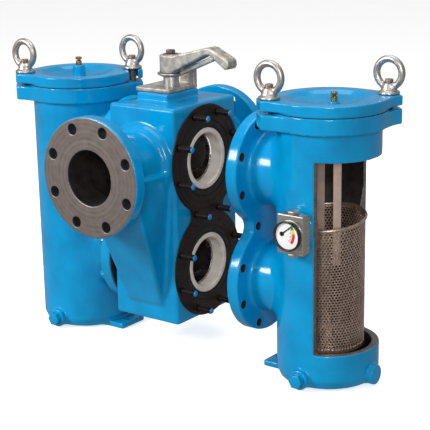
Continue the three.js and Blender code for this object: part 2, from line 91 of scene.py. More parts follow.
# ---- driving dimensions, in millimetres ----
GAP = 0.3
port = Sizes(upper=386, lower=174, r=52)
LEVELS = {"upper": port.upper, "lower": port.lower}
pipe = Sizes(r=114.3, thick=24, bolt_r=95.25, hole_r=9.5, bolts=8, front=-250, back=172)
block = Sizes(x=80, front=-98, back=104, low=68, high=496, corner=9, edge=6)
top_pad = Sizes(x0=-50, x1=26, y0=-48, y1=54, high=512)
bulge = Sizes(r=74, front=-110)
neck = Sizes(front=62, back=70, housing=70)
ramp_duct = Sizes(front=-105, foot=112, fall=0.41)
cavity_r = 77
joint = Sizes(r=107, fillet=22, thick=25, bolt_r=93.6, hole_r=7.2, face=83)
seat = Sizes(r=60.5, bore=50, inner=56)
o_ring = Sizes(inner=62.5, outer=75, depth=2.4)
stud = Sizes(r=6, inner=55, outer=117, pitch=1.75, plate_hole_r=6.6)
cover_stud = Sizes(r=8, foot=482, top=560.5, pitch=2)
ball = Sizes(r=74, bore=46, flat=70)
stem = Sizes(r=15.5, top=583)
plug = Sizes(r=20, flange_r=24, low=56, high=95)
trunnion = Sizes(r=12, drop=16)
disc = Sizes(r=27, low=541, high=548.5)
housing = Sizes(r=96, wall=85.5, low_wall=81, floor=18, top=511.5, flange_r=106, flange_low=481,
                reach=157, ledge=305, ledge_r=68, ledge_slope=0.14, slope_foot=120, slope_top=282)
foot = Sizes(x0=-124, x1=-60, half=36, high=12, hole_x=-110, hole_r=6.5)
seal = Sizes(inner=90, outer=97, depth=5)
window = Sizes(x=25.7, low=72, high=431)
lug = Sizes(stud_r=110, root=84, root_half=48, end=130, half=22, hole_r=8.8, slot=10)
eye = Sizes(collar_r=20, ring_r=25.5, tube=6.5, ring_z=38)
cover = Sizes(r=106, low=512, high=533, dish=518, dish_r=80, lug_low=515)
boss = {"left": Sizes(foot=14, head=12, top=545, x=0), "right": Sizes(foot=10.5, head=9, top=526.5, x=10)}
basket = Sizes(r=66.5, sheet=1.5, low=64, rim_r=68.2, rim_tube=3.8, pitch=6.0, hole_r=2.2)
bail = Sizes(half=7.4, thick=2, low=236, high=492)
drain = Sizes(z=22, boss_r=19, reach=106, r=9.5)
gauge = Sizes(z=306, x=27, high=36, back=-106, front=-130, boss_r=24, dial_r=24, bezel_r=27.5,
              plug_r=6, plug_y=-118, hub_x=-11, hub_z=3)
bracket = Sizes(x0=-62, x1=22, y0=-37, y1=55, thick=8, back_x=-14, back_y=44, top=571)
lever = Sizes(half=20, hub_r=22, rib=6, end=149, low=545, top=605)

# ---- places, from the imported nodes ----
def above(spot, z):
    """A height over the place of a node."""
    return (spot.x, spot.y, z)


STEM = centre("valve_stem")
LUG_STEP = lug.stud_r / sqrt(2)
ROOT, DRAWN_OFF, CHANGEOVER = "valve_and_left_housing", "drawn_off_housing", "changeover"
SIDES = {
    "left": Sizes(sign=-1, turn=pi, body=ROOT, axis=centre("left_basket")),
    "right": Sizes(sign=1, turn=0.0, body=DRAWN_OFF, axis=centre("right_basket")),
}


# ---- distance fields: negative inside ----
def join(a, b, fillet=0.0):
    if fillet == 0:
        return np.minimum(a, b)
    return np.maximum(fillet, np.minimum(a, b)) - np.hypot(
        np.maximum(fillet - a, 0), np.maximum(fillet - b, 0))


def meet(a, b, edge=0.0):
    return -join(-a, -b, edge)


def carve(a, b, edge=0.0):
    return meet(a, -b, edge)


def slab(t, low, high):
    return np.maximum(low - t, t - high)


def circle(u, v, r, cu=0.0, cv=0.0):
    return np.hypot(u - cu, v - cv) - r


def rectangle(u, v, u0, u1, v0, v1, corner=0.0):
    a = np.abs(u - (u0 + u1) / 2) - (u1 - u0) / 2 + corner
    b = np.abs(v - (v0 + v1) / 2) - (v1 - v0) / 2 + corner
    return np.hypot(np.maximum(a, 0), np.maximum(b, 0)) + np.minimum(np.maximum(a, b), 0) - corner


def polygon(u, v, points):
    """Signed distance to a closed outline of (u, v) points."""
    nearest = np.full(np.broadcast_shapes(np.shape(u), np.shape(v)), 1e9, np.float32)
    inside = np.zeros(nearest.shape, bool)
    for (u0, v0), (u1, v1) in zip(points, points[1:] + points[:1]):
        du, dv = u1 - u0, v1 - v0
        t = np.clip(((u - u0) * du + (v - v0) * dv) / (du * du + dv * dv), 0, 1)
        nearest = np.minimum(nearest, np.hypot(u - u0 - t * du, v - v0 - t * dv))
        if dv != 0:
            crossing = (v0 > v) != (v1 > v)
            inside ^= crossing & (u < u0 + (v - v0) / dv * du)
    return np.where(inside, -nearest, nearest)


def turned(x, y, z, profile, r_max=240):
    """Distance to a closed profile of (radius, height), turned about Z, read from a table of the profile."""
    step = 0.5
    z_low, z_high = float(np.min(z)), float(np.max(z))
    radii = np.arange(0, r_max + 3 * step, step, dtype=np.float32)
    heights = np.arange(z_low, z_high + 3 * step, step, dtype=np.float32)
    table = polygon(radii[:, None], heights[None, :], profile)
    r = np.minimum(np.hypot(x, y), r_max) / step
    h = (z - z_low) / step
    i, j = r.astype(int), h.astype(int)
    a, b = r - i, h - j
    near = table[i, j] * (1 - b) + table[i, j + 1] * b
    far = table[i + 1, j] * (1 - b) + table[i + 1, j + 1] * b
    return near * (1 - a) + far * a


def rod(axis, x, y, z, r, low, high, u=0.0, v=0.0, edge=0.0):
    along, across = {"x": (x, (y, z)), "y": (y, (x, z)), "z": (z, (x, y))}[axis]
    return meet(circle(*across, r, u, v), slab(along, low, high), edge)


# ---- outlines ----
def arc(cu, cv, r, start, end, steps):
    angles = [radians(start + (end - start) * i / steps) for i in range(steps + 1)]
    return [(cu + r * cos(a), cv + r * sin(a)) for a in angles]


def both_ports(y, z, r):
    return join(circle(y, z, r, 0, port.upper), circle(y, z, r, 0, port.lower))


def figure_eight(y, z, r, fillet):
    """Distance to the outline round both ports, with a concave waist of radius fillet."""
    half = (port.upper - port.lower) / 2
    middle = (port.upper + port.lower) / 2
    side = sqrt((r + fillet) ** 2 - half ** 2)
    touch = half * r / (r + fillet)
    waist_half = side * r / (r + fillet)
    waist = rectangle(y, z, -waist_half, waist_half, middle - half + touch, middle + half - touch)
    hollow = join(circle(y, z, fillet, side, middle), circle(y, z, fillet, -side, middle))
    return join(both_ports(y, z, r), carve(waist, hollow))


def joint_holes():
    """Six places round each port and one shared pair at the waist, as (y, z)."""
    places = []
    for y, z in arc(0, 0, joint.bolt_r, 22.5, 337.5, 7):
        if z > -0.9 * joint.bolt_r:
            places.append((y, port.upper + z))
        if z < 0.9 * joint.bolt_r:
            places.append((y, port.lower + z))
    waist = joint.bolt_r * cos(radians(67.5))
    middle = (port.upper + port.lower) / 2
    return places + [(waist, middle), (-waist, middle)]


def many(u, v, r, places):
    return np.minimum.reduce([circle(u, v, r, cu, cv) for cu, cv in places])


def eared_plan(x, y, r):
    """A round flange with two ears on the 45 degree line, which narrow to blunt ends."""
    half_outline = [(lug.root - 30, lug.root_half + 12), (lug.root, lug.root_half), (lug.end, lug.half)]
    outline = half_outline + [(u, -v) for u, v in half_outline[::-1]]
    outline = softened(outline, 6)
    along, across = (x + y) / sqrt(2), (y - x) / sqrt(2)
    ears = np.minimum(polygon(along, across, outline), polygon(-along, across, outline))
    return join(circle(x, y, r), ears, 16)


def untilted(y, z, back_side, start, full):
    """The height on a level housing of a point of the real one, whose basket ledge slopes to the back."""
    def share(height):
        rising, falling = (height - start) / (full - start), (450 - height) / 60
        return np.clip(np.minimum(rising, falling), 0, 1)
    rise = back_side * housing.ledge_slope * y
    return z - rise * share(z - rise * share(z))


def softened(profile, radius, steps=3):
    """A closed or open profile with each corner rounded as far as its two sides allow."""
    points = [Vector(p) for p in profile]
    out = [tuple(points[0])]
    for before, corner, after in zip(points, points[1:], points[2:]):
        a, b = before - corner, after - corner
        if a.length < 1e-6 or b.length < 1e-6 or abs(a.angle(b) - pi) < 0.15:
            out.append(tuple(corner))
            continue
        half = a.angle(b) / 2
        cut = min(radius / tan(half), 0.45 * a.length, 0.45 * b.length)
        start, end = corner + a.normalized() * cut, corner + b.normalized() * cut
        for i in range(steps + 1):
            t = i / steps
            out.append(tuple(start * (1 - t) ** 2 + corner * 2 * t * (1 - t) + end * t * t))
    return out + [tuple(points[-1])]


# ---- meshes ----
def smoothed(mesh, sharp):
    mesh.shade_smooth()
    mesh.set_sharp_from_angle(angle=radians(sharp))
    return mesh


def mesh_of(name, points, faces, sharp=38):
    mesh = bpy.data.meshes.new(name)
    mesh.from_pydata(np.asarray(points, float) * MM, [], faces)
    mesh.update()
    work = bmesh.new()
    work.from_mesh(mesh)
    bmesh.ops.recalc_face_normals(work, faces=work.faces)
    work.to_mesh(mesh)
    work.free()
    return smoothed(mesh, sharp)


def cast(name, low, high, voxel, field, zones=None):
    """The mesh of a distance field inside a box. zones are fields kept on the mesh as attributes."""
    pad = 3 * voxel
    axes = [np.arange(a - pad, b + pad, voxel, dtype=np.float32) for a, b in zip(low, high)]
    x, y, z = np.meshgrid(*axes, indexing="ij", sparse=True)
    values = np.clip(np.broadcast_to(field(x, y, z), [len(a) for a in axes]), -pad, pad)
    grid = openvdb.FloatGrid(pad)
    grid.copyFromArray(np.ascontiguousarray(values, np.float32))
    points, quads = grid.convertToQuads(isovalue=0.0)
    points = points * voxel + np.array([a[0] for a in axes])
    mesh = mesh_of(name, points, quads.tolist(), sharp=50)
    for zone, zone_field in (zones or {}).items():
        px, py, pz = points.T
        layer = mesh.attributes.new(zone, "FLOAT", "POINT")
        layer.data.foreach_set("value", np.asarray(zone_field(px, py, pz), np.float32))
    return mesh


def spun(name, profile, axis="z", sides=96, soft=0.6, thread=None):
    """Profile of (radius, height) turned about an axis. thread is (low, high, pitch, depth)."""
    closed = profile[0] == profile[-1]
    line = softened(profile, soft) if soft else list(profile)
    if thread:
        line = with_thread_steps(line, thread)
    if closed:
        line = line[:-1]
    points, rings = [], []
    for r, h in line:
        if r < 1e-6:
            rings.append([len(points)])
            points.append((0.0, 0.0, h))
            continue
        rings.append(list(range(len(points), len(points) + sides)))
        for i in range(sides):
            angle = 2 * pi * i / sides
            depth = thread_depth(h, i / sides, r, thread)
            points.append(((r - depth) * cos(angle), (r - depth) * sin(angle), h))
    faces = []
    for a, b in zip(rings, rings[1:] + rings[:1] if closed else rings[1:]):
        faces += ring_faces(a, b, sides)
    return mesh_of(name, np.array(points) @ np.array(AXIS_TURNS[axis]).T, faces)


AXIS_TURNS = {
    "z": [[1, 0, 0], [0, 1, 0], [0, 0, 1]],
    "x": [[0, 0, 1], [1, 0, 0], [0, 1, 0]],
    "-y": [[1, 0, 0], [0, 0, -1], [0, 1, 0]],
    "-z": [[1, 0, 0], [0, 1, 0], [0, 0, -1]],
}


def ring_faces(a, b, sides):
    if len(a) == 1 and len(b) == 1:
        return []
    faces = []
    for i in range(sides):
        j = (i + 1) % sides
        quad = [a[i % len(a)], a[j % len(a)], b[j % len(b)], b[i % len(b)]]
        faces.append([p for k, p in enumerate(quad) if p not in quad[:k]])
    return faces


def with_thread_steps(line, thread):
    low, high, pitch, _ = thread
    out = []
    for (r0, h0), (r1, h1) in zip(line, line[1:]):
        out.append((r0, h0))
        if abs(r1 - r0) > 1e-6 or min(h0, h1) > high or max(h0, h1) < low:
            continue
        steps = max(1, int(abs(h1 - h0) / (pitch / 4)))
        out += [(r0, h0 + (h1 - h0) * k / steps) for k in range(1, steps)]
    return out + [line[-1]]


def thread_depth(h, turn, r, thread):
    if not thread:
        return 0.0
    low, high, pitch, depth = thread
    fade = min(1.0, max(0.0, (h - low) / pitch), max(0.0, (high - h) / pitch))
    wave = 0.5 + 0.5 * cos(2 * pi * (h / pitch - turn))
    return depth * wave * fade if r > 3 * depth else 0.0


def drawn(name, outline, low, high, axis="z", bevel=0.5):
    """A prism of an outline with its edges bevelled."""
    work = bmesh.new()
    count = len(outline)
    rows = [[work.verts.new((u, v, h)) for u, v in outline] for h in (low, high)]
    work.faces.new(rows[0][::-1])
    work.faces.new(rows[1])
    for i in range(count):
        j = (i + 1) % count
        work.faces.new((rows[0][i], rows[0][j], rows[1][j], rows[1][i]))
    bmesh.ops.recalc_face_normals(work, faces=work.faces)
    sharp = [e for e in work.edges if e.calc_face_angle(0) > radians(30)]
    if bevel:
        bmesh.ops.bevel(work, geom=sharp, offset=bevel, segments=3, profile=0.5, affect="EDGES")
    points = np.array([v.co for v in work.verts]) @ np.array(AXIS_TURNS[axis]).T
    work.verts.index_update()
    faces = [[v.index for v in f.verts] for f in work.faces]
    work.free()
    return mesh_of(name, points, faces)


def hexagon(across):
    return arc(0, 0, across / sqrt(3), 0, 360, 6)[:-1]


def bar(r, low, high):
    """The profile of a plain round bar."""
    return [(0, low), (r, low), (r, high), (0, high)]


def tube(inner, outer, low, high):
    """The closed profile of a plain ring."""
    return [(inner, low), (outer, low), (outer, high), (inner, high), (inner, low)]


def joined(name, meshes):
    """Several meshes as one."""
    work = bmesh.new()
    for mesh in meshes:
        work.from_mesh(mesh)
    whole = bpy.data.meshes.new(name)
    work.to_mesh(whole)
    work.free()
    for mesh in meshes:
        bpy.data.meshes.remove(mesh)
    return smoothed(whole, 38)


def placed(name, data):
    """A new object in the scene that holds a mesh, a lamp or a camera."""
    made = bpy.data.objects.new(name, data)
    bpy.context.scene.collection.objects.link(made)
    return made


def put(name, mesh, look, body, at, node=None, turn=0.0):
    """A piece at a place in the frame, riding on a body, in the stead of a CAD node if one is named."""
    piece = placed(name, mesh)
    piece.location = Vector(at) * MM
    piece.rotation_euler.z = turn
    if not mesh.materials:
        mesh.materials.append(LOOKS[look])
    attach(piece, body)
    if node:
        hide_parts(node)
    return piece


# ---- materials ----
class Shader:
    """A material under construction, with short calls for its nodes."""

    def __init__(self, name):
        self.material = bpy.data.materials.new(name)
        self.material.use_nodes = True
        self.tree = self.material.node_tree
        self.surface = self.tree.nodes["Principled BSDF"]
        self.place = self.node("TexCoord").outputs["Object"]

    def node(self, kind, inputs=(), **settings):
        """A node with its settings, and its inputs set to numbers or joined to other outputs."""
        made = self.tree.nodes.new("ShaderNode" + kind)
        for key, value in settings.items():
            setattr(made, key, value)
        for key, value in dict(inputs).items():
            self.link(value, made.inputs[key])
        return made

    def link(self, source, target):
        if hasattr(source, "is_output"):
            self.tree.links.new(source, target)
        else:
            target.default_value = source

    def set(self, **values):
        for key, value in values.items():
            self.link(value, self.surface.inputs[key.replace("_", " ")])

    def noise(self, scale, detail=4.0, stretch=None):
        place = self.stretched(stretch) if stretch else self.place
        return self.node("TexNoise", {"Scale": scale, "Detail": detail, "Vector": place}).outputs["Fac"]

    def stretched(self, scale, offset=(0, 0, 0)):
        inputs = {"Scale": scale, "Location": offset, "Vector": self.place}
        return self.node("Mapping", inputs).outputs["Vector"]

    def ramp(self, value, low, high, to_low=0.0, to_high=1.0):
        inputs = {"Value": value, "From Min": low, "From Max": high, "To Min": to_low, "To Max": to_high}
        return self.node("MapRange", inputs).outputs["Result"]

    def math(self, operation, a, b=0.0):
        return self.node("Math", {0: a, 1: b}, operation=operation).outputs[0]

    def mix(self, factor, a, b):
        """A mix of two numbers, or of two colours."""
        numbers = isinstance(a, (int, float)) or getattr(a, "type", "") == "VALUE"
        made = self.node("Mix", data_type="FLOAT" if numbers else "RGBA")
        for source, target in zip((factor, a, b), [s for s in made.inputs if s.enabled]):
            self.link(source, target)
        return next(s for s in made.outputs if s.enabled)

    def mottle(self, scale, detail, dark, light):
        """Two colours in cloudy patches."""
        return self.mix(self.ramp(self.noise(scale, detail), 0.3, 0.7), dark, light)

    def attribute(self, name):
        return self.node("Attribute", attribute_name=name).outputs["Fac"]

    def edges(self):
        """One on convex edges and nought elsewhere."""
        return self.ramp(self.node("NewGeometry").outputs["Pointiness"], 0.52, 0.62)

    def bump(self, height, strength, distance=0.001):
        inputs = {"Strength": strength, "Distance": distance, "Height": height}
        self.set(Normal=self.node("Bump", inputs).outputs["Normal"])

    def rings(self, pitch, centre_mm, axis):
        """Lathe marks: uneven rings round an axis ("X" or "Y") through a point."""
        flat = (0, 1, 1) if axis == "X" else (1, 0, 1)
        offset = [-c * MM * keep for c, keep in zip(centre_mm, flat)]
        length = self.node("VectorMath", {0: self.stretched(flat, offset)}, operation="LENGTH")
        inputs = {"Scale": 1 / (pitch * MM), "Detail": 5.0, "W": length.outputs["Value"]}
        marks = self.node("TexNoise", inputs, noise_dimensions="1D").outputs["Fac"]
        return self.ramp(marks, 0.35, 0.65)


def rgb(red, green, blue):
    """A colour given as it looks on a screen, from 0 to 255."""
    def linear(c):
        c /= 255
        return c / 12.92 if c < 0.04045 else ((c + 0.055) / 1.055) ** 2.4
    return (linear(red), linear(green), linear(blue), 1.0)


BLUE_DEEP, BLUE_BRIGHT = rgb(0, 136, 190), rgb(2, 152, 208)
BLUE_SPECK = rgb(90, 175, 226)
BARE_DARK, BARE_LIGHT, BARE_RING = rgb(112, 101, 96), rgb(136, 125, 119), rgb(164, 152, 146)
# Raw casting inside the passages, made nearly black: part its own colour, part painted shade in the bores,
# holes and cavities.
INNER_RAW_AND_SHADE_DARK, INNER_RAW_AND_SHADE_LIGHT = rgb(30, 26, 25), rgb(62, 53, 49)
PAINT_ROUGHNESS = (0.1, 0.22)
PAINT_SPECULAR = 0.36


def paint_colour(s):
    patches = s.ramp(s.noise(14, 3), 0.35, 0.65)
    base = s.mix(patches, BLUE_DEEP, BLUE_BRIGHT)
    specks = s.ramp(s.noise(420, 2), 0.66, 0.74)
    return s.mix(s.math("MULTIPLY", specks, 0.25), base, BLUE_SPECK)


def paint_gloss(s):
    return s.ramp(s.noise(30, 4), 0.3, 0.7, *PAINT_ROUGHNESS)


def paint_peel(s):
    """The height of thick sprayed paint: a fine peel on a slow wave."""
    return s.math("ADD", s.math("MULTIPLY", s.noise(170, 3), 0.55), s.math("MULTIPLY", s.noise(38, 3), 1.4))


def casting_look(name, ring_centre):
    """Blue paint, with machined metal where "bare" is negative and, where "inner" is, raw casting darkened
    to nearly black as painted shade down the passages.
    """
    s = Shader(name)
    bare = s.ramp(s.attribute("bare"), -0.25, 0.25, 1.0, 0.0)
    inner = s.math("MULTIPLY", s.ramp(s.attribute("inner"), -0.3, 0.3, 1.0, 0.0),
                   s.math("SUBTRACT", 1.0, bare))
    rings = s.rings(9, ring_centre, "Y")
    machined = s.mix(s.math("MULTIPLY", rings, 0.4), s.mottle(60, 6, BARE_DARK, BARE_LIGHT), BARE_RING)
    colour = s.mix(bare, paint_colour(s), machined)
    metal = s.math("ADD", s.math("MULTIPLY", bare, 0.72), s.math("MULTIPLY", inner, 0.25))
    # Inside the passages the raw casting colour is darkened as painted shade.
    s.set(Base_Color=s.mix(inner, colour, s.mottle(45, 6, INNER_RAW_AND_SHADE_DARK, INNER_RAW_AND_SHADE_LIGHT)), Metallic=metal,
          Roughness=s.mix(inner, s.mix(bare, paint_gloss(s), 0.46), 0.62),
          Specular_IOR_Level=PAINT_SPECULAR)
    height = s.mix(bare, paint_peel(s), s.math("MULTIPLY", rings, 0.12))
    s.bump(s.mix(inner, height, s.math("MULTIPLY", s.noise(240, 8), 1.2)), 0.3)
    return s.material


def paint_look(name):
    s = Shader(name)
    s.set(Base_Color=paint_colour(s), Roughness=paint_gloss(s), Specular_IOR_Level=PAINT_SPECULAR)
    s.bump(paint_peel(s), 0.26)
    return s.material


def metal_look(name, dark, light, rough=(0.25, 0.4), grain=120.0, stretch=None, bump=0.12, metallic=1.0):
    """Bare metal with a grain, lighter where its edges are rubbed."""
    s = Shader(name)
    cloud = s.ramp(s.noise(grain, 6, stretch), 0.3, 0.7)
    worn = s.mix(s.math("MULTIPLY", s.edges(), 0.5), s.mix(cloud, dark, light), light)
    fine = s.noise(grain * 6, 4, stretch)
    s.set(Base_Color=worn, Metallic=metallic, Roughness=s.ramp(fine, 0.3, 0.7, *rough))
    s.bump(s.math("ADD", fine, s.math("MULTIPLY", cloud, 0.6)), bump, 0.0006)
    return s.material


def seat_plate_look():
    """Phosphated steel, dark brown, with faint lathe marks round each port."""
    s = Shader("phosphated_steel")
    rings = s.rings(6, (0, 0, port.upper), "X")
    base = s.mottle(35, 5, rgb(30, 24, 23), rgb(50, 41, 38))
    s.set(Base_Color=s.mix(s.math("MULTIPLY", rings, 0.2), base, rgb(84, 72, 67)),
          Metallic=0.55, Roughness=s.ramp(s.noise(90, 5), 0.3, 0.7, 0.42, 0.62))
    s.bump(s.math("ADD", s.noise(500, 4), s.math("MULTIPLY", rings, 0.4)), 0.15, 0.0005)
    return s.material


def stud_look(tip):
    """Black oxide with a dab of blue paint past the height tip, measured along X in millimetres."""
    s = Shader("black_oxide_blue_tip")
    along = s.node("SeparateXYZ", {0: s.place}).outputs[0]
    ragged = s.math("ADD", along, s.math("MULTIPLY", s.noise(260, 3), 0.0022))
    tipped = s.ramp(ragged, (tip - 0.2) * MM, (tip + 0.2) * MM)
    oxide = s.mottle(160, 5, rgb(26, 23, 22), rgb(58, 50, 46))
    s.set(Base_Color=s.mix(tipped, oxide, rgb(14, 140, 214)),
          Metallic=s.math("MULTIPLY", s.math("SUBTRACT", 1.0, tipped), 0.75),
          Roughness=s.mix(tipped, 0.42, 0.3))
    s.bump(s.noise(700, 3), 0.1, 0.0004)
    return s.material


def plastic_look(name, dark, light, rough, grain=300.0, bump=0.08):
    s = Shader(name)
    s.set(Base_Color=s.mottle(grain / 6, 4, dark, light),
          Roughness=s.ramp(s.noise(grain / 3, 3), 0.3, 0.7, *rough))
    s.bump(s.noise(grain * 2, 4), bump, 0.0004)
    return s.material


def perforated_look():
    """Rolled stainless sheet, streaked up and down, a little browner in the weld-heated places."""
    s = Shader("perforated_stainless")
    streaks = s.noise(60, 5, stretch=(6, 6, 1))
    heat = s.ramp(s.noise(16, 3), 0.52, 0.72)
    base = s.mix(s.ramp(streaks, 0.3, 0.7), rgb(160, 136, 122), rgb(222, 198, 182))
    s.set(Base_Color=s.mix(s.math("MULTIPLY", heat, 0.4), base, rgb(150, 120, 102)),
          Metallic=0.85, Roughness=s.ramp(streaks, 0.3, 0.7, 0.28, 0.42))
    s.bump(s.noise(400, 3), 0.1, 0.0005)
    return s.material


def band_look(colour, tint):
    return plastic_look("dial_" + colour, tint, tuple(min(1, c * 1.15) for c in tint), (0.3, 0.45))


LOOKS = {
    "valve": casting_look("cast_iron_blue_valve", (0, 0, port.upper)),
    "housing": casting_look("cast_iron_blue_housing", (0, 0, 0)),
    "paint": paint_look("blue_paint"),
    "plate": seat_plate_look(),
    "stainless": metal_look("stainless_steel", rgb(166, 159, 152), rgb(212, 206, 200), (0.34, 0.48),
                            bump=0.2),
    "strap": metal_look("bright_strap", rgb(190, 164, 148), rgb(216, 192, 176), (0.4, 0.55), 60,
                        bump=0.1, metallic=0.45),
    "stud_end": metal_look("plain_steel_thread", rgb(122, 104, 96), rgb(176, 158, 148), (0.34, 0.5),
                           200, metallic=0.7),
    "polished": metal_look("polished_ball", rgb(176, 168, 162), rgb(226, 220, 214), (0.2, 0.34), 40),
    "cast": metal_look("rough_cast_steel", rgb(146, 140, 132), rgb(206, 201, 193), (0.42, 0.62), 90,
                       bump=0.5, metallic=0.7),
    "alloy": metal_look("milled_aluminium", rgb(164, 158, 151), rgb(206, 201, 194), (0.32, 0.46), 40,
                        stretch=(1, 1, 14), bump=0.14),
    "dark": metal_look("dark_steel", rgb(96, 84, 78), rgb(150, 136, 128), (0.3, 0.45), 200,
                       metallic=0.9),
    "brass": metal_look("brass", rgb(150, 108, 58), rgb(214, 172, 112), (0.22, 0.38), 160),
    "stud": stud_look(stud.outer - 1.2),
    "seat": plastic_look("ptfe_seat", rgb(214, 204, 196), rgb(240, 234, 229), (0.34, 0.5)),
    "rubber": plastic_look("black_rubber", rgb(14, 13, 13), rgb(30, 28, 28), (0.45, 0.7)),
    "black": plastic_look("black_plastic", rgb(12, 12, 13), rgb(28, 28, 30), (0.2, 0.34)),
    "dial": plastic_look("dial_enamel", rgb(236, 235, 232), rgb(246, 246, 244), (0.3, 0.4)),
    "green": band_look("green", rgb(24, 132, 72)),
    "yellow": band_look("yellow", rgb(232, 196, 30)),
    "red": band_look("red", rgb(214, 40, 30)),
    "perforated": perforated_look(),
}


# ---- changeover valve ----
def pipe_places():
    half_step = 180 / pipe.bolts
    return arc(0, port.upper, pipe.bolt_r, half_step, 360 - half_step, pipe.bolts - 1)


def duct(x, y, z, low_half, high_half, low, high, inset, edge):
    """The sloping duct that takes the lower port up to the front flange."""
    half = low_half + (high_half - low_half) * (z - low) / (high - low)
    sides = (np.abs(x) - half) * 0.99
    face = (ramp_duct.front + inset - ramp_duct.fall * (z - ramp_duct.foot) - y) * 0.925
    return meet(meet(sides, face, edge), slab(z, low, high), edge)


def valve_shell(x, y, z):
    plan = rectangle(x, y, -block.x, block.x, block.front, block.back, block.corner)
    shell = meet(plan, slab(z, block.low, block.high), block.edge)
    pad_plan = rectangle(x, y, top_pad.x0, top_pad.x1, top_pad.y0, top_pad.y1, 5)
    shell = join(shell, meet(pad_plan, slab(z, block.high - 20, top_pad.high), 2), 5)
    shell = join(shell, rod("y", x, y, z, bulge.r, bulge.front, 0, 0, port.upper, 7), 9)
    shell = join(shell, rod("y", x, y, z, neck.front, pipe.front + 5, 0, 0, port.upper), 10)
    shell = join(shell, np.maximum(duct(x, y, z, 44, 70, 104, 375, 0, 6), y - 20), 8)
    shell = join(shell, rod("y", x, y, z, neck.back, 0, pipe.back - 5, 0, port.upper), 10)
    front = rod("y", x, y, z, pipe.r, pipe.front, pipe.front + pipe.thick, 0, port.upper, 2)
    back = rod("y", x, y, z, pipe.r, pipe.back - pipe.thick, pipe.back, 0, port.upper, 2)
    return join(join(shell, front, 6), back, 6)


def valve_field(x, y, z):
    shell = valve_shell(x, y, z)
    shell = carve(shell, np.maximum(both_ports(y, z, cavity_r), slab(np.abs(x), 0, block.x + 5)), 1)
    studs = np.maximum(many(y, z, stud.r + GAP, joint_holes()), slab(x, stud.inner - 2, block.x + 5))
    shell = carve(shell, studs, 0.8)
    bolts = many(x, z, pipe.hole_r, pipe_places())
    outside = join(slab(y, pipe.front - 5, pipe.front + 40), slab(y, pipe.back - 40, pipe.back + 5))
    shell = carve(shell, np.maximum(bolts, outside), 1.2)
    shell = carve(shell, rod("z", x, y, z, stem.r + GAP, port.upper, top_pad.high + 5), 0.8)
    shell = carve(shell, rod("z", x, y, z, stem.r, port.lower, port.upper + 1))
    shell = carve(shell, rod("z", x, y, z, plug.r, block.low - 5, port.lower), 0.8)
    shell = carve(shell, rod("y", x, y, z, port.r, pipe.front - 5, -100, 0, port.upper), 1.6)
    shell = carve(shell, rod("y", x, y, z, port.r, 0, pipe.back + 5, 0, port.upper), 1.6)
    shell = carve(shell, rod("y", x, y, z, 40, -112, 0, 0, port.lower))
    return carve(shell, np.maximum(duct(x, y, z, 34, 47, 134, port.upper, 13, 2), y - 20))


def valve_bare(x, y, z):
    skin = 0.5
    plate = circle(x, z, pipe.r + 5, 0, port.upper)
    front = np.maximum(plate, y - (pipe.front + skin))
    back = np.maximum(plate, pipe.back - skin - y)
    under = figure_eight(y, z, joint.r, joint.fillet)
    sides = np.maximum(under, block.x - skin - np.abs(x))
    return join(join(front, back), sides)


def valve_inner(x, y, z):
    """Negative a little beyond the machined face, inside every passage, where the raw casting is painted
    dark as shade.
    """
    return np.minimum.reduce([
        rod("y", x, y, z, port.r + 1.9, pipe.front + 0.5, pipe.back - 0.5, 0, port.upper),
        np.maximum(duct(x, y, z, 35, 48, 133, port.upper + 1, 12, 2), y - 20),
        np.maximum(both_ports(y, z, cavity_r + 0.8), slab(x, -block.x - 1, block.x + 1)),
        np.maximum(many(x, z, pipe.hole_r + 1.5, pipe_places()), slab(y, pipe.front, pipe.front + 22)),
        np.maximum(many(x, z, pipe.hole_r + 1.5, pipe_places()), slab(y, pipe.back - 22, pipe.back)),
        rod("z", x, y, z, plug.r + 1, block.low - 5, port.lower),
    ])


def build_valve_body():
    low, high = (-pipe.r, pipe.front, block.low), (pipe.r, pipe.back, top_pad.high)
    mesh = cast("valve_body", low, high, 2.2, valve_field, {"bare": valve_bare, "inner": valve_inner})
    put("cast_valve_body", mesh, "valve", ROOT, above(STEM, 0), "valve_body")


def seat_plate_field(drilled):
    def field(x, y, z):
        plate = meet(figure_eight(y, z, joint.r, joint.fillet), slab(x, block.x + GAP, joint.face), 0.8)
        ports = join(np.hypot(y, z - port.upper), np.hypot(y, z - port.lower))
        spigots = np.maximum(ports - (cavity_r - GAP), slab(x, 60, joint.face - 1))
        plate = join(plate, spigots)
        plate = carve(plate, ports - seat.r - GAP, 0.4)
        groove = np.maximum(slab(ports, o_ring.inner, o_ring.outer), joint.face - o_ring.depth - x)
        plate = carve(plate, groove, 0.4)
        return carve(plate, many(y, z, stud.plate_hole_r, joint_holes()), 0.5) if drilled else plate
    return field


def seat_profile():
    inner, face = seat.inner, joint.face
    return [(seat.bore, inner), (seat.r, inner), (seat.r, face - 1.5), (seat.r - 1.5, face),
            (seat.bore + 2, face), (seat.bore, face - 2), (seat.bore, inner)]


def o_ring_profile():
    mid, half = (o_ring.inner + o_ring.outer) / 2, (o_ring.outer - o_ring.inner) / 2 - GAP
    crest = joint.face - o_ring.depth / 2 - 0.1
    loop = [(mid + half * cos(a), crest + (o_ring.depth / 2) * sin(a))
            for a in (radians(30 * i) for i in range(12))]
    return loop + loop[:1]


def build_seats():
    low, high = (58, -joint.r, 60), (joint.face, joint.r, 500)
    for name, side in SIDES.items():
        plate = cast(name + "_seat_plate", low, high, 1.1, seat_plate_field(name == "right"))
        put(name + "_seat_plate_piece", plate, "plate", ROOT, above(STEM, 0), name + "_seat_plate",
            side.turn)
        for level, z in LEVELS.items():
            node = f"{name}_{level}_seat"
            ring = spun("seat", seat_profile(), "x", 128, 0.8)
            put(node + "_ring", ring, "seat", ROOT, above(STEM, z), node, side.turn)
            o_ring_mesh = spun("o_ring", o_ring_profile(), "x", 128, 0)
            put(f"{name}_{level}_o_ring", o_ring_mesh, "rubber", ROOT, above(STEM, z), turn=side.turn)


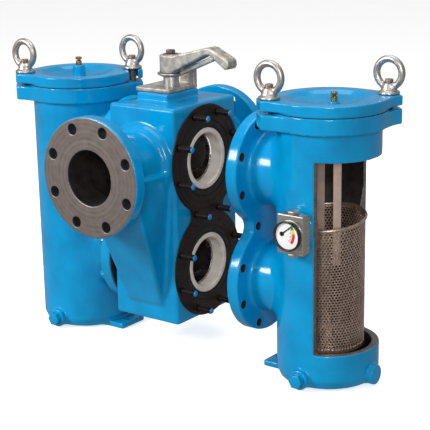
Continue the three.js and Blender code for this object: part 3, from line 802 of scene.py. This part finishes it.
def build_studs():
    thread = (stud.outer - 32, stud.outer - 1.5, stud.pitch, 0.9)
    profile = [(0, stud.inner), (stud.r, stud.inner), (stud.r, stud.outer - 2),
               (stud.r - 2, stud.outer), (0, stud.outer)]
    mesh = spun("joint_stud", profile, "x", 32, 0.3, thread)
    for i, (y, z) in enumerate(joint_holes(), start=1):
        put(f"threaded_stud_{i}", mesh, "stud", ROOT, (STEM.x, STEM.y + y, z), f"joint_stud_{i}")


def ball_field(with_trunnion):
    def field(x, y, z):
        sphere = np.sqrt(x * x + y * y + z * z) - ball.r
        solid = meet(sphere, slab(z, -ball.flat, ball.flat), 1)
        if with_trunnion:
            solid = join(solid, rod("z", x, y, z, trunnion.r, -ball.flat - trunnion.drop, -ball.flat + 2,
                                    edge=1))
        solid = carve(solid, circle(x, z, ball.bore) + 0 * y, 2)
        return carve(solid, np.maximum(circle(y, z, ball.bore), -x), 2)
    return field


def build_balls():
    for level, z in LEVELS.items():
        drop = trunnion.drop if level == "lower" else 0
        low, high = (-ball.r, -ball.r, -ball.flat - drop), (ball.r, ball.r, ball.flat)
        mesh = cast(level + "_ball", low, high, 1.5, ball_field(level == "lower"))
        put(level + "_ported_ball", mesh, "polished", CHANGEOVER, above(STEM, z), level + "_ball")


def link_profile():
    return bar(stem.r - GAP, port.lower + ball.flat + GAP, port.upper - ball.flat - GAP)


def stem_profile():
    low, top, step = port.upper + ball.flat + GAP, stem.top, disc.low - GAP
    return [(0, low), (stem.r, low), (stem.r, step), (trunnion.r, step), (trunnion.r, top - 12),
            (10, top - 12), (10, top - 1), (0, top - 1)]


def plug_profile():
    bore, body = trunnion.r + GAP, plug.r - GAP
    return [(0, plug.low), (plug.flange_r - 2, plug.low), (plug.flange_r, plug.low + 2),
            (plug.flange_r, block.low - GAP), (body, block.low - GAP), (body, plug.high),
            (bore, plug.high), (bore, 84), (0, 84)]


def disc_profile():
    bore = trunnion.r + GAP
    return [(bore, disc.low), (19, disc.low), (disc.r, disc.low + 4.4), (disc.r, disc.high),
            (disc.r - 3, disc.high), (20, disc.high - 2), (bore, disc.high - 2), (bore, disc.low)]


def screw_mesh():
    low = stem.top + GAP
    washer = spun("washer", tube(5, 15, low, low + 1.5), soft=0.3)
    return joined("lever_screw", [washer, drawn("screw_head", hexagon(17), low + 1.5, low + 9, bevel=0.7)])


def build_spindle():
    at = above(STEM, 0)
    put("ball_link_shaft", spun("ball_link", link_profile()), "stainless", CHANGEOVER, at, "ball_link")
    put("valve_stem_shaft", spun("valve_stem", stem_profile()), "stainless", CHANGEOVER, at, "valve_stem")
    put("bottom_bearing_plug", spun("bottom_plug", plug_profile()), "dark", ROOT, at, "bottom_plug")
    dished = spun("indicator_disc", disc_profile(), soft=0.8)
    put("dished_disc", dished, "stainless", CHANGEOVER, at, "indicator_disc")
    put("lever_hex_screw", screw_mesh(), "dark", CHANGEOVER, at, "lever_screw", 0.3)


def bracket_field(x, y, z):
    low = top_pad.high + GAP
    b = bracket
    plate = meet(rectangle(x, y, b.x0, b.x1, b.y0, b.y1, 5), slab(z, low, low + b.thick), 1.6)
    upright = meet(rectangle(x, y, b.back_x, b.x1, b.back_y, b.y1, 2), slab(z, low, b.top), 1.6)
    return carve(join(plate, upright, 2.5), circle(x, y, stem.r + GAP), 0.8)


def lever_field(x, y, z):
    low = disc.high + GAP
    side = [(0, low), (20, low + 4), (97, 590), (104, 590), (139, 565), (146, 566), (lever.end, 572),
            (148, 581), (144, 585), (106, 603), (97, 604), (26, 586), (17, 583), (0, 583)]
    narrowing = lever.half - 0.035 * np.maximum(x, 0)
    arm = meet(polygon(x, z, side), np.abs(y) - narrowing, 3)
    rib_side = [(16, low + 1), (100, 586), (112, 584), (104, 577), (30, low - 3)]
    rib = np.maximum(meet(polygon(x, z, rib_side), np.abs(y) - lever.rib, 2), 27 - x)
    whole = join(join(arm, rib, 3), rod("z", x, y, z, lever.hub_r, low, stem.top, edge=2), 5)
    whole = carve(whole, rod("z", x, y, z, trunnion.r + GAP, low - 5, stem.top - 11.5))
    return carve(whole, rod("z", x, y, z, 10 + GAP, low, stem.top + 9))


def build_lever():
    b, r = bracket, lever.hub_r
    stop = cast("stop_bracket", (b.x0, b.y0, top_pad.high), (b.x1, b.y1, b.top), 1.1, bracket_field)
    put("stop_bracket_piece", stop, "cast", ROOT, above(STEM, 0), "stop_bracket")
    arm = cast("hand_lever", (-r, -r, lever.low), (lever.end, r, lever.top), 1.1, lever_field)
    put("hand_lever_casting", arm, "cast", CHANGEOVER, above(STEM, 0), "hand_lever")


# ---- housings ----
def inside_profile():
    return [
        (-5, housing.floor), (70, housing.floor), (housing.low_wall, 29), (housing.low_wall, 90),
        (housing.wall, 96), (housing.wall, housing.slope_top), (housing.ledge_r, 299),
        (housing.ledge_r, housing.ledge), (74, housing.ledge), (housing.wall, 342),
        (housing.wall, housing.top + 20), (-5, housing.top + 20)]


def outside_profile():
    return softened([(-5, 0), (76, 0), (90, 6), (housing.r, 20), (housing.r, housing.top - 5),
                     (-5, housing.top - 5)], 5)


def inside_field(x, y, z, back_side):
    level = untilted(y, z, back_side, housing.slope_foot, housing.slope_top)
    return turned(x, y, level, inside_profile())


def housing_field(cut_open, drain_side):
    face = -housing.reach

    def field(x, y, z):
        body = turned(x, y, z, outside_profile())
        for height in (port.upper, port.lower):
            body = join(body, rod("x", x, y, z, neck.housing, face + 10, 0, 0, height), 12)
        ears = meet(eared_plan(x, y, housing.flange_r), slab(z, housing.flange_low, 509), 2.5)
        collar = meet(circle(x, y, housing.flange_r), slab(z, housing.flange_low, housing.top), 1.2)
        body = join(body, np.minimum(ears, collar), 3)
        eight = figure_eight(y, z, joint.r, joint.fillet)
        body = join(body, meet(eight, slab(x, face, face + joint.thick), 2.5), 8)
        body = join(body, rod("y", x, y, z, drain.boss_r, -drain.reach, drain.reach, 0, drain.z, 2.5), 4)
        body = join(body, rod("x", x, y, z, drain.boss_r, 0, drain.reach, 0, drain.z, 2.5), 4)
        body = join(body, rod("y", x, y, z, gauge.boss_r, gauge.back + GAP, 0, 0, gauge.z, 2.5), 6)
        foot_plan = rectangle(x, y, foot.x0, foot.x1, -foot.half, foot.half, 5)
        body = join(body, meet(foot_plan, slab(z, 0, foot.high), 2), 5)
        body = meet(body, -z, 1)
        body = carve(body, inside_field(x, y, z, -drain_side), 1.2)
        body = carve(body, np.maximum(slab(np.hypot(x, y), seal.inner, seal.outer),
                                      housing.top - seal.depth - z))
        body = carve(body, np.maximum(both_ports(y, z, port.r - 1), x), 1.5)
        bolts = np.maximum(many(y, z, joint.hole_r, joint_holes()), x - (face + joint.thick + 14))
        body = carve(body, bolts, 1.2)
        studs = [(LUG_STEP, LUG_STEP), (-LUG_STEP, -LUG_STEP)]
        body = carve(body, np.maximum(many(x, y, cover_stud.r + GAP, studs), 470 - z), 0.8)
        near, far = sorted((60 * drain_side, (drain.reach + 5) * drain_side))
        body = carve(body, rod("y", x, y, z, drain.r + GAP, near, far, 0, drain.z))
        body = carve(body, rod("z", x, y, z, foot.hole_r, -5, foot.high + 8, foot.hole_x), 0.8)
        if cut_open:
            opening = np.maximum(window.x - x, slab(z, window.low, window.high))
            body = carve(body, opening, 0.8)
        return body
    return field


def housing_bare(cut_open):
    skin = 0.45

    def zone(x, y, z):
        rim = np.maximum(housing.top - skin - z, np.hypot(x, y) - housing.flange_r - 2)
        bare = join(x + housing.reach - skin, rim)
        if cut_open:
            sides = slab(z, window.low - skin, window.high + skin)
            bare = join(bare, np.maximum(window.x - skin - x, sides))
        return bare
    return zone


# The inside of the barrel, ports and bolt holes, where the raw casting is painted dark as shade.
def housing_inner(back_side):
    face = -housing.reach

    def zone(x, y, z):
        barrel = np.maximum(inside_field(x, y, z, back_side) - 1.2, z - housing.top + 1)
        bolts = many(y, z, joint.hole_r + 1.4, joint_holes())
        return np.minimum.reduce([
            barrel,
            np.maximum(both_ports(y, z, port.r + 0.8), slab(x, face + 0.5, 0)),
            np.maximum(bolts, slab(x, face + 0.5, face + joint.thick - 0.2)),
        ])
    return zone


def build_housings():
    low, high = (-housing.reach, -joint.r - 15, 0), (drain.reach, joint.r + 15, housing.top)
    for name, side in SIDES.items():
        cut_open = name == "right"
        zones = {"bare": housing_bare(cut_open), "inner": housing_inner(side.sign)}
        mesh = cast(name + "_housing", low, high, 2.2, housing_field(cut_open, -side.sign), zones)
        put(name + "_housing_casting", mesh, "housing", side.body, above(side.axis, 0),
            name + "_housing", side.turn)


def build_joint_gasket():
    inner, outer, back, face = 56, 84.5, 85.3, joint.face + GAP

    def field(x, y, z):
        sheet = meet(figure_eight(y, z, outer, 40), slab(x, face, back), 0.2)
        return carve(sheet, both_ports(y, z, inner))
    mesh = cast("joint_gasket", (83, -86, 88), (86, 86, 472), 0.8, field)
    put("left_joint_gasket_sheet", mesh, "rubber", ROOT, above(STEM, 0), "left_joint_gasket", pi)


def build_joint_nuts():
    """Stud ends and nuts that hold the left housing, on the back of its joint flange."""
    back = joint.thick - housing.reach
    nut = drawn("nut", hexagon(18.5), back, back + 10.8, "x", 0.8)
    end = [(0, back - 20), (stud.r, back - 20), (stud.r, back + 14), (stud.r - 1.5, back + 15.5),
           (0, back + 15.5)]
    thread = (back + 10, back + 15, stud.pitch, 0.8)
    mesh = joined("joint_nut", [nut, spun("end", end, "x", 32, 0.3, thread)])
    axis = SIDES["left"].axis
    for i, (y, z) in enumerate(joint_holes(), start=1):
        put(f"left_joint_nut_{i}", mesh, "paint", ROOT, (axis.x, axis.y + y, z), turn=pi)


# ---- covers and their fittings ----
def cover_field(vent):
    r, dish, high = cover.dish_r, cover.dish, cover.high
    bowl = softened([(-5, dish), (r - 52, dish + 0.5), (r - 30, dish + 3), (r - 12, dish + 8), (r, high),
                     (r + 12, high + 40), (-5, high + 40)], 9)

    def field(x, y, z):
        ears = meet(eared_plan(x, y, cover.r), slab(z, cover.lug_low, cover.high), 2)
        lid = meet(circle(x, y, cover.r), slab(z, cover.low, cover.high), 2)
        body = carve(np.minimum(ears, lid), turned(x, y, z, bowl), 1.5)
        slimming = (vent.foot - vent.head) * (z - cover.dish) / (vent.top - cover.dish)
        taper = circle(x, y, vent.foot, vent.x) + slimming
        body = join(body, meet(taper, slab(z, cover.dish - 3, vent.top), 2.5), 5)
        pivot = circle(x, y, lug.hole_r, LUG_STEP, LUG_STEP)
        along, across = -(x + y) / sqrt(2) - lug.stud_r, (x - y) / sqrt(2)
        opening = rectangle(along, across, -lug.slot, lug.slot, -60, 0)
        slot = join(np.hypot(along, across) - lug.slot, opening)
        body = carve(body, join(pivot, slot), 1)
        return carve(body, rod("z", x, y, z, 5, cover.low + 3, vent.top + 20, vent.x, 0))
    return field


def vent_screw(seat_z):
    low, collar, top = cover.low + 4, seat_z + GAP, seat_z + 16
    return spun("vent_screw", [
        (0, low), (5 - GAP, low), (5 - GAP, collar), (6, collar), (6, seat_z + 8), (3.6, seat_z + 9.5),
        (3.6, seat_z + 11), (6.5, seat_z + 11.5), (6.5, top), (0, top)], sides=48, soft=0.5)


def eye_field(x, y, z):
    ring = np.hypot(np.hypot(x, z - eye.ring_z) - eye.ring_r, y) - eye.tube
    collar = rod("z", x, y, z, eye.collar_r, 0, 5, edge=1.8)
    cone = np.maximum((np.hypot(x, y) - 17 + 0.45 * (z - 3)) * 0.91, slab(z, 2, 20))
    nut = join(join(collar, cone, 3), ring, 4)
    return carve(nut, rod("z", x, y, z, cover_stud.r + GAP, -5, 29), 0.8)


def eye_nut_mesh():
    reach = eye.ring_r + eye.tube
    low, high = (-reach, -eye.collar_r, 0), (reach, eye.collar_r, eye.ring_z + reach)
    return cast("eye_nut", low, high, 1.0, eye_field)


def cover_stud_mesh():
    r, low, top = cover_stud.r, cover_stud.foot, cover_stud.top
    return spun("cover_stud", [(0, low), (r, low), (r, top - 1.5), (r - 1.5, top), (0, top)],
                sides=40, soft=0.3, thread=(low + 2, top - 0.5, cover_stud.pitch, 0.8))


def seal_mesh():
    low, high = housing.top - seal.depth + GAP, cover.low - GAP
    return spun("cover_seal", tube(seal.inner + 0.4, seal.outer - 0.4, low, high), sides=128, soft=1.2)


def build_covers():
    forging, threaded, rubber = eye_nut_mesh(), cover_stud_mesh(), seal_mesh()
    reach = lug.end * 0.85
    for name, side in SIDES.items():
        axis, vent = side.axis, boss[name]
        low, high = (-reach, -reach, cover.low), (reach, reach, max(vent.top, cover.high) + 2)
        lid = cast(name + "_cover", low, high, 1.5, cover_field(vent))
        put(name + "_cover_casting", lid, "paint", name + "_cover", above(axis, 0), name + "_cover",
            side.turn)
        put(name + "_brass_vent", vent_screw(vent.top), "brass", name + "_vent_screw",
            (axis.x + vent.x, axis.y, 0), name + "_vent_screw")
        seal_body = body_of(frame["nodes"][name + "_cover_seal"])[0]
        put(name + "_cover_seal_ring", rubber, "rubber", seal_body, above(axis, 0), name + "_cover_seal")
        for where, step in (("front", -LUG_STEP), ("back", LUG_STEP)):
            spot = axis + Vector((step, step, 0))
            node, nut = f"{name}_{where}_stud", f"{name}_{where}_eye_nut"
            put(node + "_threaded", threaded, "stud_end", side.body, above(spot, 0), node)
            put(nut + "_forging", forging, "stainless", nut, above(spot, cover.high + GAP), nut)


def drain_plug_mesh(name):
    face = drain.reach + GAP
    head = drawn("head", hexagon(24.2), face, face + 10, "-y", 1.0)
    collar = spun("collar", bar(13.6, face + 0.2, face + 1.8), "-y", 48, 0.4)
    thread = spun("thread", bar(drain.r, 64, face + 1), "-y", 32, 0.3, (65, face - 6, 2, 0.7))
    return joined(name, [head, collar, thread])


def build_drain_plugs():
    for name, side in SIDES.items():
        node = name + "_drain_plug"
        put(name + "_hex_drain_plug", drain_plug_mesh(node), "paint", node, above(side.axis, drain.z), node)


# ---- baskets ----
def perforated_sheet(low, high):
    """A rolled sheet of staggered round holes: one six-sided cell of twelve quads for each hole."""
    girth = 2 * pi * basket.r
    around = round(girth / basket.pitch)
    pitch = girth / around
    row = pitch * sqrt(3) / 2
    corner = pitch / sqrt(3)
    flat = corner * cos(radians(30))
    rim, hole = [], []
    for i in range(12):
        c, s = cos(radians(30 * i)), sin(radians(30 * i))
        reach = corner if i % 2 else flat
        rim.append((reach * c, reach * s))
        hole.append((basket.hole_r * c, basket.hole_r * s))
    points, faces, seen = [], [], {}

    def vertex(u, v):
        u %= girth
        key = (round(u * 20) % round(girth * 20), round(v * 20))
        if key not in seen:
            seen[key] = len(points)
            points.append((basket.r * cos(u / basket.r), basket.r * sin(u / basket.r), v))
        return seen[key]

    for j in range(int((high - low) / row)):
        for i in range(around):
            u, v = (i + 0.5 * (j % 2)) * pitch, low + (j + 0.5) * row
            outer = [vertex(u + a, v + b) for a, b in rim]
            inner = [vertex(u + a, v + b) for a, b in hole]
            for k in range(12):
                faces.append([outer[k], outer[(k + 1) % 12], inner[(k + 1) % 12], inner[k]])
    return points, faces


def thickened(mesh):
    """The mesh as a sheet of its real thickness."""
    holder = placed("holder", mesh)
    solid = holder.modifiers.new("thickness", "SOLIDIFY")
    solid.thickness = basket.sheet * MM * 0.9
    solid.offset = 0.9
    graph = bpy.context.evaluated_depsgraph_get()
    thick = bpy.data.meshes.new_from_object(holder.evaluated_get(graph))
    bpy.data.objects.remove(holder)
    bpy.data.meshes.remove(mesh)
    return thick


def basket_mesh():
    rim_z = housing.ledge + GAP + basket.rim_tube
    base, low, high = basket.low, basket.low + 8, rim_z - basket.rim_tube
    inner, outer = basket.r - basket.sheet - 0.2, basket.r + 0.2
    sheet = thickened(mesh_of("perforated_sheet", *perforated_sheet(low, high)))
    floor = spun("floor", [
        (0, base), (basket.r - 2, base), (outer, base + 2), (outer, low + 3), (inner, low + 3),
        (inner, base + 3), (0, base + 3)], soft=0.5)
    band = spun("band", tube(inner, outer, high - 2, rim_z), soft=0.3)
    roll = arc(basket.rim_r - 0.4, rim_z, basket.rim_tube - 0.2, 0, 336, 14)
    rolled = spun("roll", roll + roll[:1], sides=128, soft=0)
    return sloped(joined("basket", [sheet, floor, band, rolled]))


def sloped(mesh):
    """Tilts the rim to follow the ledge that it sits on; the floor stays level."""
    start, full = (basket.low + 5) * MM, housing.slope_top * MM
    for vertex in mesh.vertices:
        share = min(1.0, max(0.0, (vertex.co.z - start) / (full - start)))
        vertex.co.z += housing.ledge_slope * vertex.co.y * share
    mesh.update()
    return mesh


def bail_mesh():
    """A flat strap bent into a tall U, its feet spot-welded inside the basket."""
    r, thick, low, bend = basket.r - basket.sheet - 0.6, bail.thick, bail.low, bail.high - 14
    outline = [(-r, low), (-r + thick, low)]
    outline += arc(-r + 16, bend, 14, 180, 90, 8) + arc(r - 16, bend, 14, 90, 0, 8)
    outline += [(r - thick, low), (r, low)]
    outline += arc(r - 16, bend, 16, 0, 90, 8) + arc(-r + 16, bend, 16, 90, 180, 8)
    return drawn("bail", outline, -bail.half, bail.half, "-y", 0.5)


def build_baskets():
    mesh, strap = basket_mesh(), bail_mesh()
    for name, side in SIDES.items():
        at = above(side.axis, 0)
        put(name + "_perforated_basket", mesh, "perforated", side.body, at, name + "_basket")
        put(name + "_bail_strap", strap, "strap", side.body, at, name + "_basket_bail",
            radians(-45))


# ---- clogging gauge ----
def gauge_block_field(x, y, z):
    plan = rectangle(x, y, -gauge.x, gauge.x, gauge.front, gauge.back, 1.5)
    body = meet(plan, slab(z, -gauge.high, gauge.high), 1.5)
    body = join(body, rod("y", x, y, z, gauge.bezel_r - 1.5, gauge.front - 4, gauge.front + 3, edge=1), 0.8)
    sockets = np.maximum(circle(x, y, gauge.plug_r, 0, gauge.plug_y), gauge.high - 8 - np.abs(z))
    return carve(body, sockets)


def sector(name, r0, r1, start, end, low, high, steps=24):
    outline = arc(0, 0, r1, start, end, steps) + arc(0, 0, r0, end, start, steps)
    return drawn(name, outline, low, high, "-y", 0.0)


def bezel_profile():
    low, r = 4 + GAP - gauge.front, gauge.bezel_r
    return [(0, low), (r, low), (r, low + 7.5), (r - 1.5, low + 9), (gauge.dial_r + 0.8, low + 9),
            (gauge.dial_r + 0.6, low + 3), (0, low + 3)]


def gauge_plug_mesh(node, direction):
    head = drawn("head", hexagon(20.6), GAP, 6, direction, 0.8)
    return joined(node, [head, spun("thread", bar(gauge.plug_r - GAP, -7, 1), direction, 32, 0.3)])


def ticks_mesh(low):
    ticks = [sector("tick", 17.5 if i % 3 else 15.5, 20.5, a - 1.1, a + 1.1, low, low + 0.18, 2)
             for i, a in enumerate(range(-38, 45, 8))]
    return joined("ticks", ticks)


def needle_mesh():
    low, resting = 9 - gauge.front, radians(38)
    c, s = cos(resting), sin(resting)
    outline = arc(0, 0, 4.2, 20, 340, 24) + [(24, -0.5), (24, 0.5)]
    swung = [(u * c - v * s, u * s + v * c) for u, v in outline]
    return drawn("gauge_pointer", swung, low, low + 1.2, "-y", 0.2)


def build_gauge():
    axis = SIDES["right"].axis
    at = above(axis, gauge.z)
    low, high = (-gauge.x, gauge.front - 4, -gauge.high), (gauge.x, gauge.back, gauge.high)
    body = cast("gauge_block", low, high, 0.9, gauge_block_field)
    put("gauge_milled_block", body, "alloy", DRAWN_OFF, at, "gauge_block")
    for node, direction, z in (("gauge_top_plug", "z", gauge.z + gauge.high),
                               ("gauge_bottom_plug", "-z", gauge.z - gauge.high)):
        put(node + "_hex", gauge_plug_mesh(node, direction), "alloy", DRAWN_OFF,
            (axis.x, axis.y + gauge.plug_y, z), node)
    bezel = spun("gauge_bezel", bezel_profile(), "-y", 128, 0.8)
    put("gauge_black_bezel", bezel, "black", DRAWN_OFF, at, "gauge_bezel")
    face = 7 + 2 * GAP - gauge.front
    top = face + 1.2
    dial = spun("gauge_dial", bar(gauge.dial_r, face, top), "-y", 128, 0.2)
    put("gauge_dial_plate", dial, "dial", DRAWN_OFF, at, "gauge_dial")
    hub, print_low = (axis.x + gauge.hub_x, axis.y, gauge.z + gauge.hub_z), top + 0.02
    for colour, start, end in (("green", 24, 42), ("yellow", 6, 24), ("red", -38, 6)):
        band = sector("band", 21.5, 27.0, start, end, print_low, print_low + 0.2)
        put(f"gauge_{colour}_band", band, colour, DRAWN_OFF, hub)
    put("gauge_ticks", ticks_mesh(print_low), "black", DRAWN_OFF, hub)
    put("gauge_needle", needle_mesh(), "black", "gauge_pointer", hub, "gauge_pointer")


# ---- stage ----
def build_stage():
    size = 12.0
    corners = [(-size, -size, 0), (size, -size, 0), (size, size, 0), (-size, size, 0)]
    mesh = bpy.data.meshes.new("floor")
    mesh.from_pydata(corners, [], [(0, 1, 2, 3)])
    floor = placed("floor", mesh)
    s = Shader("pale_floor")
    s.set(Base_Color=s.mix(s.noise(3, 2), rgb(247, 247, 247), rgb(252, 252, 252)), Roughness=0.9,
          Emission_Color=(1, 1, 1, 1), Emission_Strength=0.6)
    mesh.materials.append(s.material)
    floor.visible_diffuse = False
    floor.visible_glossy = False


def look_along(thing, direction, roll=0.0):
    """Turns a lamp or camera to face a direction."""
    thing.rotation_mode = "QUATERNION"
    level = direction.to_track_quat("-Z", "Y")
    thing.rotation_quaternion = level @ Matrix.Rotation(roll, 3, "Z").to_quaternion()


def soft_light(name, place, target, size, power):
    data = bpy.data.lights.new(name, "AREA")
    data.shape = "RECTANGLE"
    data.size, data.size_y = size
    data.energy = power
    lamp = placed(name, data)
    lamp.location = place
    look_along(lamp, Vector(target) - Vector(place))


def build_lights():
    world = bpy.data.worlds.new("studio")
    bpy.context.scene.world = world
    world.use_nodes = True
    sky = world.node_tree.nodes["Background"]
    sky.inputs["Color"].default_value = (1.0, 1.0, 1.0, 1.0)
    sky.inputs["Strength"].default_value = 0.32
    soft_light("left_light", (-1.7, -2.7, 1.9), (0, 0, 0.25), (0.9, 0.9), 90)
    soft_light("right_light", (2.0, -2.6, 1.5), (0.1, 0, 0.3), (0.7, 1.3), 46)
    soft_light("top_light", (0.0, 0.3, 2.6), (0, 0, 0.3), (2.0, 2.0), 30)
    bpy.context.scene.view_settings.view_transform = "Standard"


def build_camera():
    """The photograph's viewpoint: a long lens, a little above the covers and turned to the right."""
    azimuth, elevation, roll = radians(36.68), radians(15.33), radians(-1.03)
    data = bpy.data.cameras.new("camera")
    data.lens = 106.07
    data.sensor_width = 36.0
    camera = placed("camera", data)
    camera.location = (1.4751, -1.8859, 0.9319)
    level = cos(elevation)
    ahead = (-sin(azimuth) * level, cos(azimuth) * level, -sin(elevation))
    look_along(camera, Vector(ahead), roll)
    bpy.context.scene.camera = camera


for build in (build_camera, build_stage, build_lights, build_valve_body, build_seats, build_studs,
              build_balls, build_spindle, build_lever, build_housings, build_joint_gasket,
              build_joint_nuts, build_covers, build_drain_plugs, build_baskets, build_gauge):
    build()
